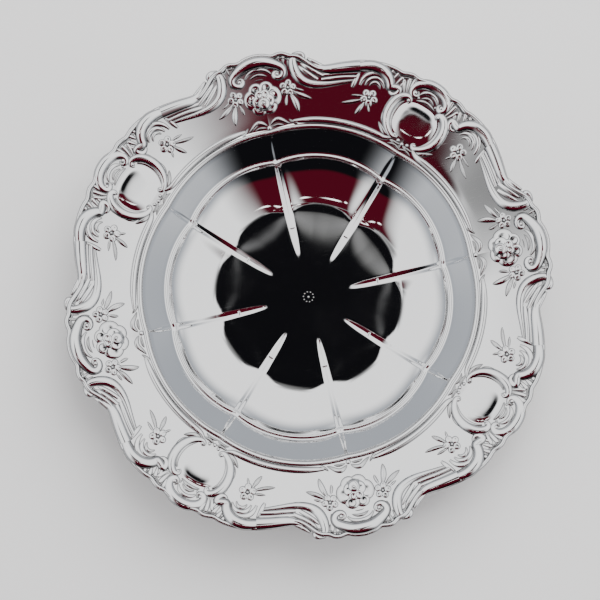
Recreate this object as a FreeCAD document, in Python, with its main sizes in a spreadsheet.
import FreeCAD, Part

import math
import os

import Sketcher
from FreeCAD import Placement, Rotation, Vector

# A round offering plate in bright plated metal, 305 mm across, standing on a foot ring.
# The dish is one pressed sheet: a flat floor, a curved bowl with eight pressed ribs, a small
# step, a steep wall and a wide flange that rises outwards. The flange has a wavy outline.
# A rim moulding grips its edge, and struck mounts are soldered to its upper face. They repeat
# every quarter turn: a rose under a crest of scrolls, then, half-way round to the next rose,
# a plain cartouche in a frame of scrolls. Between them lie flower sprays and scrolls that
# come in right and left hands. A moulding with a knot under each rose edges the well.
#
# The frame: +Z up, origin under the centre of the foot ring, a rose on +Y. Millimetres.

doc = FreeCAD.newDocument("offering_plate")

DIMENSIONS = (
    # the pressed dish
    ("sheet_thickness", 0.8),
    ("base_gap", 3.0),  # from the table to the underside of the floor
    ("floor_radius", 60.0),
    ("bowl_depth", 14.0),
    ("step_width", 2.5),
    ("step_rise", 0.6),
    ("wall_run", 13.5),
    ("wall_rise", 13.5),
    ("well_radius", 103.0),
    ("flange_width", 49.5),
    ("flange_slope", 9.0),  # degrees
    # the ribs in the bowl
    ("rib_tip_radius", 33.0),
    ("rib_half_width", 4.5),
    ("rib_height", 2.2),
    ("rib_tip_half_width", 0.4),
    # the foot ring
    ("foot_radius", 46.0),
    ("foot_wall", 1.6),
    ("foot_flange", 3.0),
    ("foot_flange_thickness", 1.2),
    # the rim moulding
    ("rim_width", 3.2),
    ("rim_grip", 1.6),
    ("rim_lip", 1.2),
    ("rim_skirt", 3.5),
    # the mounts
    ("mount_gap", 0.1),  # between a mount and the rim moulding
    ("rose_radius", 9.8),
    ("rose_height", 4.0),
    ("rose_inset", 28.0),
    ("crest_radius", 13.0),
    ("crest_tube", 2.4),
    ("crest_inset", 16.5),
    ("flower_radius", 4.1),
    ("flower_height", 2.2),
    ("leaf_radius", 1.5),
    ("scroll_radius", 9.5),
    ("scroll_tube", 2.8),
    ("reed_radius", 1.5),
    ("reed_pitch", 2.7),
    ("shell_radius", 10.0),
    ("shell_tube", 2.1),
    ("volute_radius", 2.6),
    ("panel_half_width", 14.6),
    ("panel_half_length", 12.6),
    ("panel_height", 1.3),
    ("frame_radius", 10.8),
    ("frame_tube", 2.4),
    ("moulding_inset", 5.4),
    ("moulding_outer_tube", 1.9),
    ("moulding_inner_tube", 1.5),
)

# What follows from the sizes above.
DERIVED = (
    ("floor_top", "sizes.base_gap + sizes.sheet_thickness"),
    ("step_radius", "sizes.well_radius - sizes.wall_run"),
    ("bowl_radius", "step_radius - sizes.step_width"),
    ("bowl_top", "floor_top + sizes.bowl_depth"),
    ("step_top", "bowl_top + sizes.step_rise"),
    ("well_top", "step_top + sizes.wall_rise"),
    ("rim_radius", "sizes.well_radius + sizes.flange_width"),
    ("flange_rise", "sizes.flange_width * tan(sizes.flange_slope * 1 deg)"),
    ("rim_top", "well_top + flange_rise"),
    ("trim_radius", "rim_radius + 5"),  # the blanks run on to here and the outline trims them
    ("trim_top", "rim_top + 5 * tan(sizes.flange_slope * 1 deg)"),
    ("bowl_run", "bowl_radius - sizes.floor_radius"),
    ("bowl_arc", "(bowl_run^2 + sizes.bowl_depth^2) / (2 * sizes.bowl_depth)"),
    ("arc_height", "floor_top + bowl_arc"),  # of the centre that the bowl curves about
    ("foot_inner", "sizes.foot_radius - sizes.foot_wall"),
    ("foot_outer", "sizes.foot_radius + sizes.foot_flange"),
    ("lip_well", "well_top + sizes.rim_lip"),
    ("lip_trim", "trim_top + sizes.rim_lip"),
    ("skirt_well", "well_top - sizes.rim_skirt"),
    ("skirt_trim", "trim_top - sizes.rim_skirt"),
    # the ribs' section: its foot runs along the middle of the sheet
    ("half_sheet", "sizes.sheet_thickness / 2"),
    ("rib_arc", "bowl_arc + half_sheet"),
    ("rib_mid_radius", "(sizes.rib_tip_radius + bowl_radius) / 2"),
    ("rib_mid_dip", "sqrt(bowl_arc^2 - (rib_mid_radius - sizes.floor_radius)^2)"),
    ("rib_mid_top", "arc_height - rib_mid_dip + sizes.rib_height / 2"),
    ("rib_top", "bowl_top + sizes.rib_height"),
    ("rib_floor", "floor_top - half_sheet"),
    ("rib_bowl_foot", "arc_height - sqrt(rib_arc^2 - bowl_run^2)"),
    ("rib_step_foot", "step_top - half_sheet"),
    ("rib_end_radius", "sizes.well_radius - 2 * half_sheet"),
    ("rib_end_foot", "well_top - (2 * sizes.wall_rise / sizes.wall_run + 1) * half_sheet"),
)


def fill_sheet(name, rows):
    sheet = doc.addObject("Spreadsheet::Sheet", name)
    for row, (alias, content) in enumerate(rows, start=1):
        sheet.set(f"A{row}", alias)
        sheet.set(f"B{row}", str(content))
        sheet.setAlias(f"B{row}", alias)
    return sheet


sheet = fill_sheet("sizes", DIMENSIONS)
derived = fill_sheet("derived", [(name, "=" + formula) for name, formula in DERIVED])
doc.recompute()

QUARTERS = range(4)
ROSE_TURN = 90.0  # the first rose lies on +Y
RIB_COUNT = 8
UP = Vector(0, 0, 1)


DRIVING = [name for name, value in DIMENSIONS]


def size(name):
    """A value of either sheet, as a number."""
    holder = sheet if name in DRIVING else derived
    return float(FreeCAD.Units.Quantity(str(holder.get(name))).Value)


def cell(name):
    """The same value, as the text of an expression."""
    return ("sizes." if name in DRIVING else "derived.") + name


rim_radius = size("rim_radius")
slope = math.radians(size("flange_slope"))


def flange_height(radius):
    """Height of the flange's upper face at this distance from the axis."""
    return size("well_top") + (radius - size("well_radius")) * math.tan(slope)


def polar(turn, radius, height=0.0):
    angle = math.radians(turn)
    return Vector(radius * math.cos(angle), radius * math.sin(angle), height)


# ---- sketches ---------------------------------------------------------------------------------


def bind(sketch, kind, *where, expression):
    """Adds one dimension to a sketch and ties it to an expression of the sheets."""
    index = sketch.addConstraint(Sketcher.Constraint(kind, *where))
    sketch.setExpression(f"Constraints[{index}]", expression)


def arc_height_at(name, radius):
    """Height of an arc about the bowl's centre, at this distance from the axis."""
    return size("arc_height") - math.sqrt(size(name) ** 2 - (radius - size("floor_radius")) ** 2)


def draw(sketch, corners, arc_after=None, arc_name=None, closed=True):
    """Draws an outline through corners, each a pair of sheet names for its radius and height
    (None is zero). The edge after one corner is an arc about the bowl's centre."""
    places = [tuple(0.0 if name is None else size(name) for name in pair) for pair in corners]
    count = len(corners) if closed else len(corners) - 1
    for index in range(count):
        start, stop = (Vector(*places[i % len(places)], 0) for i in (index, index + 1))
        if index == arc_after:
            middle = 0.5 * (start.x + stop.x)
            halfway = Vector(middle, arc_height_at(arc_name, middle), 0)
            sketch.addGeometry(Part.Arc(start, halfway, stop))
        else:
            sketch.addGeometry(Part.LineSegment(start, stop))
    for index in range(count if closed else count - 1):
        following = (index + 1) % count
        sketch.addConstraint(Sketcher.Constraint("Coincident", index, 2, following, 1))
    for index, pair in enumerate(corners):
        edge, end = (index, 1) if index < count else (index - 1, 2)
        for kind, axis, name, value in (
            ("DistanceX", -2, pair[0], places[index][0]),
            ("DistanceY", -1, pair[1], places[index][1]),
        ):
            if name is None:
                sketch.addConstraint(Sketcher.Constraint("PointOnObject", edge, end, axis))
            else:
                bind(sketch, kind, -1, 1, edge, end, value, expression=cell(name))
    if arc_after is not None:
        bind(sketch, "Radius", arc_after, size(arc_name), expression=cell(arc_name))
    return sketch


def upright_sketch(name):
    """A sketch whose X is the radius and whose Y is the height."""
    sketch = doc.addObject("Sketcher::SketchObject", name)
    sketch.Placement = Placement(Vector(), Rotation(Vector(1, 0, 0), 90))
    return sketch


def turned(name, source):
    """A solid of revolution about Z."""
    solid = doc.addObject("Part::Revolution", name)
    solid.Source = source
    solid.Axis = UP
    solid.Angle = 360
    solid.Solid = True
    return solid


# The dish's upper face, from the axis to the edge of the flange.
DISH_FACE = (
    (None, "floor_top"),
    ("floor_radius", "floor_top"),
    ("bowl_radius", "bowl_top"),
    ("step_radius", "step_top"),
    ("well_radius", "well_top"),
    ("trim_radius", "trim_top"),
)


# ---- the wavy outline --------------------------------------------------------------------------

# How far the edge lies inside the rim radius, by degrees from a rose towards a cartouche.
OUTLINE = ((0, 0.0), (6, 1.8), (10, 3.4), (15.5, 11.5), (21, 8.6), (27, 4.4), (33, 2.8), (39, 2.4))
HALF_REPEAT = 45


def outline_turns():
    """Where the edge's points lie, in degrees, and how deep: mirrored in each half repeat."""
    half = [*OUTLINE, (HALF_REPEAT, 0.0)]
    back = [(2 * HALF_REPEAT - turn, depth) for turn, depth in reversed(half[1:-1])]
    return [
        (2 * HALF_REPEAT * quarter + turn, depth)
        for quarter in QUARTERS
        for turn, depth in half + back
    ]


def outline_block(name, inset):
    """A tall block with the plate's outline, this far inside its edge."""
    turns = outline_turns()
    points = [polar(ROSE_TURN + turn, rim_radius - depth - inset) for turn, depth in turns]
    places = [float(turn) for turn, depth in turns] + [360.0]
    curve = Part.BSplineCurve()
    curve.interpolate(Points=points, Parameters=places, PeriodicFlag=True)
    joints = curve.getKnots()[:: len(OUTLINE) // 2]
    edges = [curve.toShape(first, last) for first, last in zip(joints, joints[1:])]
    face = doc.addObject("Part::Feature", name + "_face")
    face.Shape = Part.Face(Part.Wire(edges))
    block = doc.addObject("Part::Extrusion", name)
    block.Base = face
    block.DirMode = "Custom"
    block.Dir = UP
    block.Solid = True
    block.setExpression("LengthFwd", "derived.rim_top + 2 * sizes.rose_height")
    return block


def flange_layer(name, low, high):
    """The space between two cones parallel to the flange's face, low and high above it.
    Each is a pair of sizes, for the well's edge and for the rim."""
    sketch = upright_sketch(name + "_profile")
    near, far = "well_radius", "trim_radius"
    draw(sketch, ((near, low[0]), (far, low[1]), (far, high[1]), (near, high[0])))
    return turned(name, sketch)


# ---- operations --------------------------------------------------------------------------------


def combine(kind, name, first, second):
    """A boolean of two objects: Part::Cut, Part::Common or Part::Fuse."""
    result = doc.addObject(kind, name)
    result.Base = first
    result.Tool = second
    result.Refine = False
    return result


def fuse(name, pieces):
    if len(pieces) == 1:
        return pieces[0]
    result = doc.addObject("Part::MultiFuse", name)
    result.Shapes = pieces
    result.Refine = False
    return result


def primitive(kind, name, placement, **sizes):
    """A Part primitive whose sizes are expressions of the sheet."""
    solid = doc.addObject(kind, name)
    for key, expression in sizes.items():
        solid.setExpression(key, expression)
    solid.Placement = placement
    return solid


# ---- building on the flange --------------------------------------------------------------------

SINK = 0.25  # bars lie with their axes this far under the flange's face


def on_flange(away, radius, lift=0.0, spin=0.0):
    """A place on the flange, so many degrees clockwise of the first rose. X runs clockwise
    along the rim, Y outwards up the slope and Z along the face's normal."""
    turn = ROSE_TURN - away
    facing = Rotation(UP, turn - 90) * Rotation(Vector(1, 0, 0), size("flange_slope"))
    place = polar(turn, radius, flange_height(radius))
    return Placement(place + facing.multVec(Vector(0, 0, lift)), facing * Rotation(UP, spin))


def shifted(place, across, out, lift=0.0, spin=0.0):
    """The place moved within its own tilted plane."""
    return place * Placement(Vector(across, out, lift), Rotation(UP, spin))


def dome(name, place, radius, height):
    """A round cap of a sphere, given the expressions of its radius and height."""
    ball = doc.addObject("Part::Sphere", name)
    ball.setExpression("Radius", f"(({radius})^2 + ({height})^2) / (2 * ({height}))")
    doc.recompute([ball])
    rise = float(ball.evalExpression(height))
    ball.Placement = shifted(place, 0, 0, rise - ball.Radius.Value)
    return ball


def scroll(name, place, radius, tube, start, sweep):
    """A half-sunk round bar bent to an arc about the place, from a start angle on."""
    spun = place * Placement(Vector(0, 0, -SINK), Rotation(UP, start))
    return primitive(
        "Part::Torus", name, spun, Radius1=radius, Radius2=tube, Angle3=f"{sweep} deg"
    )


def rod(name, start, stop, radius):
    """A half-sunk round bar from one point to another."""
    along = Placement(start - UP * SINK, Rotation(UP, stop - start))
    bar = primitive("Part::Cylinder", name, along, Radius=radius)
    bar.Height = (stop - start).Length
    return bar


def leaf(name, base, tip, radius="sizes.leaf_radius"):
    """A leaf lying on the flange from one place to another, as a half-sunk cone."""
    run = tip.Base - base.Base
    along = Placement(base.Base - UP * SINK, Rotation(UP, run))
    blade = primitive("Part::Cone", name, along, Radius1=radius, Radius2=f"0.2 * ({radius})")
    blade.Height = run.Length
    return blade


def flower(name, place):
    """Five round petals about a centre bead."""
    reach = 0.56 * size("flower_radius")
    petals = []
    for index in range(5):
        angle = math.radians(90 + 72 * index)
        spot = shifted(place, reach * math.cos(angle), reach * math.sin(angle))
        share = "sizes.flower_radius * 0.44"
        petals.append(dome(f"{name}_petal_{index + 1}", spot, share, "sizes.flower_height * 0.7"))
    bead = "sizes.flower_radius * 0.34"
    petals.append(dome(name + "_bead", place, bead, cell("flower_height")))
    return petals


def seated(name, pieces):
    """One mount: its pieces cut off at the flange's face and at the rim, then joined."""
    trimmed = [
        combine("Part::Common", piece.Name + "_seated", piece, mount_space) for piece in pieces
    ]
    return fuse(name + "_master", trimmed)


# ---- the dish and what carries it --------------------------------------------------------------


def make_former():
    """Everything under the dish's upper face, which seats the mounts and the ribs."""
    sketch = upright_sketch("former_profile")
    draw(sketch, DISH_FACE + (("trim_radius", None), (None, None)), 1, "bowl_arc")
    return turned("former", sketch)


def make_mount_space():
    """What lies over the dish, inside the rim moulding."""
    inside = outline_block("mount_outline", size("rim_width") + size("mount_gap"))
    return combine("Part::Cut", "mount_space", inside, former)


def make_ribs():
    """The pressed ribs, tapered in plan. They rise out of the bowl at their points, are
    highest at the step and run out again up the wall."""
    blades = []
    for index in range(RIB_COUNT):
        turn = Rotation(UP, ROSE_TURN + index * 360 / RIB_COUNT - 90)
        blades.append(
            primitive(
                "Part::Wedge",
                f"rib_blade_{index + 1}",
                Placement(Vector(), turn),
                Xmin="-sizes.rib_tip_half_width",
                Xmax=cell("rib_tip_half_width"),
                X2min="-sizes.rib_half_width",
                X2max=cell("rib_half_width"),
                Ymin=cell("rib_tip_radius"),
                Ymax=cell("well_radius"),
                Zmin="0",
                Z2min="0",
                Zmax=cell("well_top"),
                Z2max=cell("well_top"),
            )
        )
    section = (
        ("rib_tip_radius", "rib_floor"),
        ("floor_radius", "rib_floor"),
        ("bowl_radius", "rib_bowl_foot"),
        ("step_radius", "rib_step_foot"),
        ("rib_end_radius", "rib_end_foot"),
        ("bowl_radius", "rib_top"),
        ("rib_mid_radius", "rib_mid_top"),
    )
    ring = turned("rib_ring", draw(upright_sketch("rib_section"), section, 1, "rib_arc"))
    return combine("Part::Common", "rib_set", fuse("rib_blades", blades), ring)


def make_dish():
    """The pressing: a sheet of even thickness under the upper face, and the ribs raised in it."""
    face = draw(upright_sketch("dish_profile"), DISH_FACE, 1, "bowl_arc", closed=False)
    section = doc.addObject("Part::Offset2D", "dish_section")
    section.Source = face
    section.setExpression("Value", "-sizes.sheet_thickness")
    section.Mode = "Skin"
    section.Fill = True
    section.Join = "Intersection"
    outline = outline_block("dish_outline", size("rim_grip"))
    trimmed = combine("Part::Common", "dish_trimmed", turned("dish_round", section), outline)
    dish = combine("Part::Fuse", "dish", trimmed, make_ribs())
    dish.Label = "dish"
    return dish


def make_foot_ring():
    """A thin wall under the bowl with a flat flange to stand on."""
    body = doc.addObject("PartDesign::Body", "foot_ring")
    sketch = body.newObject("Sketcher::SketchObject", "foot_profile")
    upright = next(p for p in body.Origin.OriginFeatures if p.Role == "XZ_Plane")
    sketch.AttachmentSupport = (upright, "")
    sketch.MapMode = "FlatFace"
    corners = (
        ("foot_inner", None),
        ("foot_inner", "base_gap"),
        ("foot_radius", "base_gap"),
        ("foot_radius", "foot_flange_thickness"),
        ("foot_outer", "foot_flange_thickness"),
        ("foot_outer", None),
    )
    draw(sketch, corners)
    ring = body.newObject("PartDesign::Revolution", "foot_turned")
    ring.Profile = sketch
    ring.ReferenceAxis = (sketch, ["V_Axis"])
    ring.Angle = 360
    body.Tip = ring
    body.Label = "foot_ring"
    return body


def make_rim_moulding():
    """A lip over the flange's edge and a skirt that closes the sheet's cut edge."""
    whole = outline_block("rim_outline", 0.0)
    band = combine("Part::Cut", "rim_band", whole, outline_block("rim_inside", size("rim_width")))
    layer = flange_layer("lip_layer", ("well_top", "trim_top"), ("lip_well", "lip_trim"))
    lip = combine("Part::Common", "rim_lip_part", band, layer)
    edge = combine("Part::Cut", "rim_edge", whole, outline_block("rim_grip_line", size("rim_grip")))
    layer = flange_layer("skirt_layer", ("skirt_well", "skirt_trim"), ("well_top", "trim_top"))
    skirt = combine("Part::Common", "rim_skirt_part", edge, layer)
    rim = combine("Part::Fuse", "rim_moulding", lip, skirt)
    rim.Label = "rim_moulding"
    return rim


# ---- the mounts --------------------------------------------------------------------------------

# Places along the rim, in degrees clockwise of a rose. The cartouche lies at half a repeat.
SPRAY_AWAY = 6.9
SCROLL_AWAY = 12.6
SHELL_AWAY = 30.4
CARTOUCHE_INSET = 27.5  # from the rim radius to the middle of the panel


def rose():
    """An open rose: five outer petals, a cup and a bud."""
    place = on_flange(0, rim_radius - size("rose_inset"))
    reach = 0.52 * size("rose_radius")
    petals = []
    for index in range(5):
        angle = math.radians(-90 + 72 * index)
        spot = shifted(place, reach * math.cos(angle), reach * math.sin(angle))
        share = "sizes.rose_radius * 0.48"
        petals.append(dome(f"rose_petal_{index + 1}", spot, share, "sizes.rose_height * 0.6"))
    raised = shifted(place, 0, 0, 0.3 * size("rose_height"))
    ring = ("sizes.rose_radius * 0.45", "sizes.rose_radius * 0.17")
    cup = scroll("rose_cup", raised, *ring, 0, 360)
    return petals + [cup, dome("rose_bud", place, "sizes.rose_radius * 0.3", cell("rose_height"))]


def crest_arch(name, place, starts):
    """Reeds bent to arches one inside the other, each a little sunk in the next."""
    arches = []
    for index, start in enumerate(starts):
        radius = f"sizes.crest_radius - {1.78 * index} * sizes.crest_tube"
        sweep = 180 - 2 * start
        arches.append(
            scroll(f"{name}_{index + 1}", place, radius, cell("crest_tube"), start, sweep)
        )
    return arches


def rose_crest():
    """An arch of three reeds over the rose, with a volute at each foot."""
    place = on_flange(0, rim_radius - size("crest_inset"))
    feet = [
        dome(
            f"crest_volute_{number}",
            shifted(place, side * 0.92 * size("crest_radius"), 0.6),
            "sizes.volute_radius * 1.15",
            "sizes.volute_radius * 0.9",
        )
        for number, side in ((1, 1), (2, -1))
    ]
    return crest_arch("crest_arch", place, (-8, 0, 0)) + feet


def rose_spray():
    """A small flower beside the rose with three leaves that hang towards the well."""
    radius = rim_radius - size("rose_inset") + 3.6
    leaves = (
        (SPRAY_AWAY + 1.2, radius - 2.4, 13.2, radius - 8.0),
        (SPRAY_AWAY + 0.6, radius - 3.2, 9.9, radius - 14.5),
        (SPRAY_AWAY - 0.4, radius - 3.2, 7.0, radius - 10.5),
    )
    return flower("spray", on_flange(SPRAY_AWAY, radius)) + [
        leaf(f"spray_leaf_{index + 1}", on_flange(*ends[:2]), on_flange(*ends[2:]))
        for index, ends in enumerate(leaves)
    ]


def acanthus_scroll():
    """A big comma-shaped scroll that runs out into a band and three straight reeds."""
    radius = size("scroll_radius")
    place = on_flange(SCROLL_AWAY, rim_radius - 14.0)
    comma = scroll("acanthus_comma", place, cell("scroll_radius"), cell("scroll_tube"), 95, 175)
    head = dome(
        "acanthus_head",
        shifted(place, -0.35 * radius, 0.86 * radius),
        "sizes.scroll_tube * 1.15",
        "sizes.scroll_tube * 1.1",
    )
    foot = shifted(place, 0, -radius).Base
    end = on_flange(23.0, rim_radius - 20.9).Base
    pieces = [comma, head, rod("acanthus_band", foot, end, "sizes.scroll_tube * 0.9")]
    for index in range(3):
        rise = index * size("reed_pitch")
        start = on_flange(13.6, rim_radius - 19.9 + rise).Base
        stop = on_flange(23.0, rim_radius - 17.5 + rise).Base
        pieces.append(rod(f"acanthus_reed_{index + 1}", start, stop, cell("reed_radius")))
    return pieces


def shell_scroll():
    """Two arched flutes over a flower, with a volute at each end and leaves below."""
    place = on_flange(SHELL_AWAY, rim_radius - 18.6)
    radius = size("shell_radius")
    bloom = rim_radius - 25.2
    pieces = [
        scroll("shell_outer", place, cell("shell_radius"), cell("shell_tube"), 30, 150),
        scroll("shell_inner", place, "sizes.shell_radius - 1.8 * sizes.shell_tube",
               cell("shell_tube"), 20, 140),
        dome("shell_bead", shifted(place, -radius - 1.4, -0.6), "2.8", "2.4"),
        dome("shell_volute", shifted(place, radius + 0.6, 5.0), "2.3", "2.2"),
        rod("shell_stem", on_flange(SHELL_AWAY, bloom).Base, shifted(place, 0, radius).Base,
            cell("leaf_radius")),
    ]
    pieces += flower("shell_flower", on_flange(SHELL_AWAY, bloom))
    leaves = (
        (SHELL_AWAY - 1.2, bloom - 1.6, 22.6, bloom - 7.5),
        (SHELL_AWAY - 0.4, bloom - 2.6, 27.4, bloom - 13.0),
        (SHELL_AWAY - 1.4, bloom + 0.5, 24.8, bloom - 1.6),
    )
    return pieces + [
        leaf(f"shell_leaf_{index + 1}", on_flange(*ends[:2]), on_flange(*ends[2:]))
        for index, ends in enumerate(leaves)
    ]


def cartouche_place():
    """The middle of the cartouche, about level with the roses."""
    return on_flange(HALF_REPEAT, rim_radius - CARTOUCHE_INSET)


def cartouche_panel():
    """The plain, gently domed oval inside the frame."""
    return [
        primitive(
            "Part::Ellipsoid",
            "panel_dome",
            cartouche_place(),
            Radius1=cell("panel_height"),
            Radius2=cell("panel_half_width"),
            Radius3=cell("panel_half_length"),
        )
    ]


def cartouche_frame():
    """Scrolls around the panel: a reeded crest outside it, a C at each side, leaves below."""
    middle = cartouche_place()
    radius = rim_radius - CARTOUCHE_INSET
    low = size("panel_half_length")
    crest = shifted(middle, 0, low - 1.1)
    pieces = crest_arch("frame_crest", crest, (12, 20))
    for number, side, start in ((1, 1, -95), (2, -1, 85)):
        arm = shifted(middle, side * (size("panel_half_width") - 0.4), -0.5)
        radii = (cell("frame_radius"), cell("frame_tube"))
        pieces.append(scroll(f"frame_side_{number}", arm, *radii, start, 190))
        pieces.append(
            dome(
                f"frame_volute_{number}",
                shifted(crest, side * 0.84 * size("crest_radius"), 1.4),
                cell("volute_radius"),
                "sizes.volute_radius * 0.9",
            )
        )
        leaves = ((6.4, radius - low - 0.3, 13.6, radius - 5.9),
                  (-0.6, radius - low - 1.4, 7.2, radius - low - 0.3))
        for leaf_number, (near, base, far, tip) in enumerate(leaves, start=1):
            pieces.append(
                leaf(
                    f"frame_leaf_{number}_{leaf_number}",
                    on_flange(HALF_REPEAT + side * near, base),
                    on_flange(HALF_REPEAT + side * far, tip),
                )
            )
    return pieces


def well_moulding():
    """Two reeds round an eighth of the well's edge, from a knot to a cartouche."""
    outer = size("well_radius") + size("moulding_inset")
    inner = outer - 0.94 * (size("moulding_outer_tube") + size("moulding_inner_tube"))
    pieces = []
    for name, radius, first, last in (
        ("moulding_outer", outer, 7.0, 38.5),
        ("moulding_inner", inner, 3.0, HALF_REPEAT),
    ):
        level = Placement(Vector(0, 0, flange_height(radius)), Rotation(UP, ROSE_TURN - last))
        bar = primitive("Part::Torus", name, level, Radius2=cell(name + "_tube"))
        bar.Radius1 = radius
        bar.Angle3 = last - first
        pieces.append(bar)
    return pieces


def well_knot():
    """Two ribbons that meet at a bead under the rose, where the mouldings break."""
    radius = size("well_radius") + size("moulding_inset")
    bead = "sizes.moulding_outer_tube * 1.05"
    pieces = [dome("knot_bead", on_flange(0, radius - 1.4), bead, bead)]
    for number, side in ((1, 1), (2, -1)):
        ribbon = (on_flange(side * 0.4, radius + 1.4), on_flange(side * 6.4, radius - 1.0))
        pieces.append(leaf(f"knot_ribbon_{number}", *ribbon, cell("moulding_outer_tube")))
        drop = (on_flange(side * 0.2, radius - 3.2), on_flange(side * 2.7, radius - 3.4))
        pieces.append(leaf(f"knot_drop_{number}", *drop, cell("moulding_inner_tube")))
    return pieces


def quarter_copies(label, master):
    """The four nodes of one mount, a quarter turn apart."""
    nodes = []
    for quarter in QUARTERS:
        copy = doc.addObject("Part::Compound", f"{label}_{quarter + 1}")
        copy.Links = [master]
        copy.Placement = Placement(Vector(), Rotation(UP, -90 * quarter))
        copy.Label = f"{label}_{quarter + 1}"
        nodes.append(copy)
    return nodes


def mirrored(master):
    """The left-hand copy of a mount, mirrored in the plane through the first rose."""
    copy = doc.addObject("Part::Mirroring", master.Name + "_left")
    copy.Source = master
    copy.Normal = Vector(1, 0, 0)
    return copy


# ---- the whole plate ---------------------------------------------------------------------------

former = make_former()
mount_space = make_mount_space()
nodes = [make_dish(), make_foot_ring(), make_rim_moulding()]

CENTRED = (rose, rose_crest, cartouche_panel, cartouche_frame, well_knot)
HANDED = (rose_spray, acanthus_scroll, shell_scroll, well_moulding)
for build in CENTRED:
    nodes += quarter_copies(build.__name__, seated(build.__name__, build()))
for build in HANDED:
    right = seated(build.__name__, build())
    nodes += quarter_copies(build.__name__ + "_right", right)
    nodes += quarter_copies(build.__name__ + "_left", mirrored(right))
doc.recompute()

# ---- check and write ---------------------------------------------------------------------------

for item in doc.Objects:
    if "Invalid" in item.State or "Error" in item.State:
        raise RuntimeError(f"{item.Name} failed: {item.State}")
for item in [item for item in doc.Objects if item.Name.endswith("_seated")] + nodes:
    if item.Shape.isNull() or not item.Shape.isValid() or len(item.Shape.Solids) != 1:
        raise RuntimeError(f"{item.Label} is not one valid solid")

os.makedirs("parts", exist_ok=True)
for node in nodes:
    node.Shape.exportStep(os.path.join("parts", node.Label + ".step"))
print(f"{len(nodes)} nodes written")
